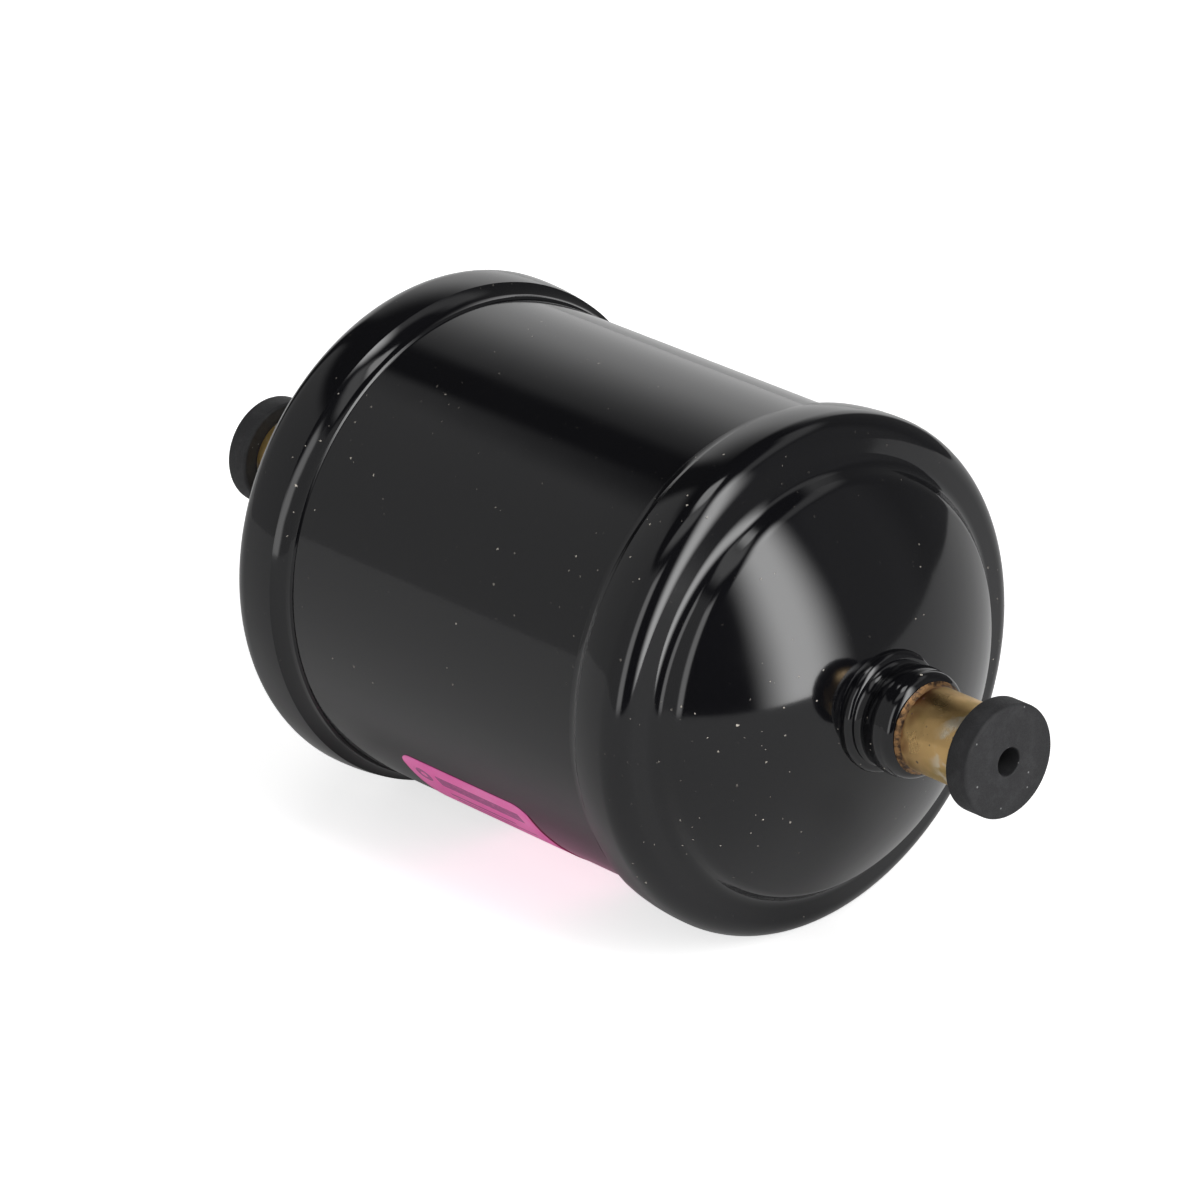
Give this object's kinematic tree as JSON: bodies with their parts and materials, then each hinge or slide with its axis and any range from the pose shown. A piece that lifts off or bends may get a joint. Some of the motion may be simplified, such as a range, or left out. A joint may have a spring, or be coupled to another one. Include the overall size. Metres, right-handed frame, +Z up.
{
  "type": "filter drier",
  "caption": "Cylindrical liquid-line filter drier: black coated steel shell with domed ends, copper solder connectors, rubber transport stoppers and a moulded core inside.",
  "frame": {"origin": "middle of the drier, on its axis", "axes": "+X along the axis towards the outlet, +Z up, with the label low on the -Y side"},
  "size_m": [0.1438, 0.0702, 0.0702],
  "materials": {
    "coated_shell": "glossy black coating over steel",
    "copper": "bare copper, heat-tinted gold and brown",
    "braze": "dull braze fillet",
    "rubber_stopper": "matt black rubber",
    "label_film": "pink printed film",
    "inner_steel": "plain pressed steel",
    "spring_steel": "drawn spring wire",
    "strainer_mesh": "fine woven wire",
    "felt": "white needled felt",
    "desiccant": "dry moulded desiccant"
  },
  "bodies": {
    "drier": {"barrel": "coated_shell", "core_cup": "inner_steel", "core_spring": "spring_steel", "desiccant_core": "desiccant", "inlet_braze_ring": "braze", "inlet_connector": "copper", "inlet_end_cap": "coated_shell", "inlet_felt": "felt", "inlet_neck_collar": "coated_shell", "inlet_neck_weld": "coated_shell", "inlet_seam_weld": "coated_shell", "label": "label_film", "outlet_braze_ring": "braze", "outlet_connector": "copper", "outlet_end_cap": "coated_shell", "outlet_felt": "felt", "outlet_neck_collar": "coated_shell", "outlet_neck_weld": "coated_shell", "outlet_seam_weld": "coated_shell", "pressure_plate": "inner_steel", "strainer": "strainer_mesh"},
    "inlet_stopper": {"inlet_stopper": "rubber_stopper"},
    "outlet_stopper": {"outlet_stopper": "rubber_stopper"}
  },
  "joints": [
    {"name": "inlet_stopper_pull", "type": "slide", "parent": "drier", "child": "inlet_stopper", "axis": [-1, 0, 0], "range_m": [0, 0.03]},
    {"name": "outlet_stopper_pull", "type": "slide", "parent": "drier", "child": "outlet_stopper", "axis": [1, 0, 0], "range_m": [0, 0.03]}
  ]
}
